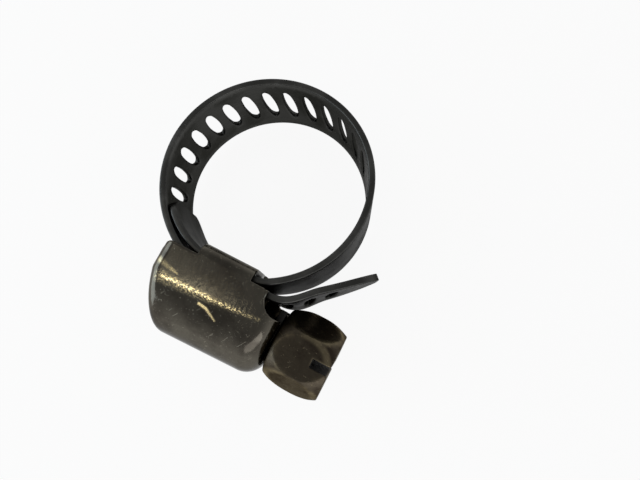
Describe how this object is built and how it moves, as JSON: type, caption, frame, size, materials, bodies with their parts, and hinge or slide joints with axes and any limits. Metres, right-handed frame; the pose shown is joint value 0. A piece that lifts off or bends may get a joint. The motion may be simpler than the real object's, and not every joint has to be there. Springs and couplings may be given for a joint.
{
  "type": "worm-drive tube clamp",
  "caption": "Perforated steel strip bent into a ring; a slotted hex-head worm screw in a pressed housing draws its slotted end through to tighten it on a tube.",
  "frame": {"origin": "on the ring's axis, at the middle of the strip's width", "axes": "+Z along the ring's axis, +X along the screw towards its head, the housing on the -Y side"},
  "size_m": [0.0227, 0.0262, 0.0094],
  "materials": {
    "band_steel": "dark rolled strip, satin",
    "housing_steel": "pressed sheet, brushed, semi-gloss",
    "screw_steel": "formed steel, worn bronze tint"
  },
  "bodies": {
    "clamp": {"band": "band_steel", "housing": "housing_steel"},
    "screw": {"worm_screw": "screw_steel"}
  },
  "joints": [
    {"name": "screw_turn", "type": "hinge", "parent": "clamp", "child": "screw", "pos_m": [0, -0.0122, 0], "axis": [-1, 0, 0], "range_deg": [-1800, 4320], "deforming": ["band"]}
  ]
}
